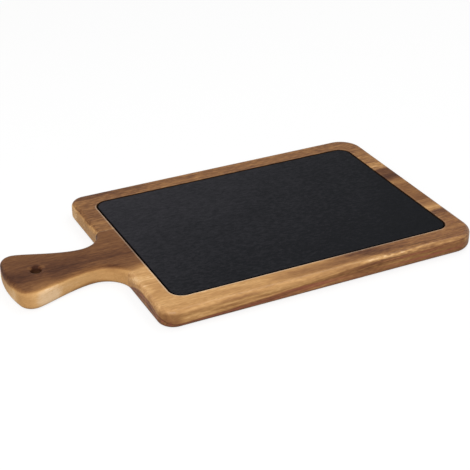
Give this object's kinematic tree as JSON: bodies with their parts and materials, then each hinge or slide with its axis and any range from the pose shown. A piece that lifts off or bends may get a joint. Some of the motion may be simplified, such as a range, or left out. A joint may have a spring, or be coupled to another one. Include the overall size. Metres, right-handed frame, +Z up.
{
  "type": "serving board",
  "caption": "Acacia serving board with a flared paddle handle, a hanging hole and a black slate plate let into its top.",
  "frame": {"origin": "middle of the overall length and width, on the underside that the board rests on", "axes": "+X along the board from the handle's tip to the far end, +Y across it to the back, +Z up"},
  "size_m": [0.36, 0.2, 0.015],
  "materials": {
    "handle_wood": "oiled acacia heartwood, dark brown",
    "back_wood": "oiled acacia, mid brown",
    "front_wood": "oiled acacia, pale sapwood over brown",
    "wood_glue": "cured wood glue",
    "slate": "riven natural slate, matt",
    "adhesive": "cured food-safe adhesive"
  },
  "bodies": {
    "root": {"handle_stave": "handle_wood", "back_stave": "back_wood", "front_stave": "front_wood", "back_glue_line": "wood_glue", "front_glue_line": "wood_glue", "slate_plate": "slate", "adhesive_dab_1": "adhesive", "adhesive_dab_2": "adhesive", "adhesive_dab_3": "adhesive", "adhesive_dab_4": "adhesive", "adhesive_dab_5": "adhesive"}
  },
  "joints": []
}
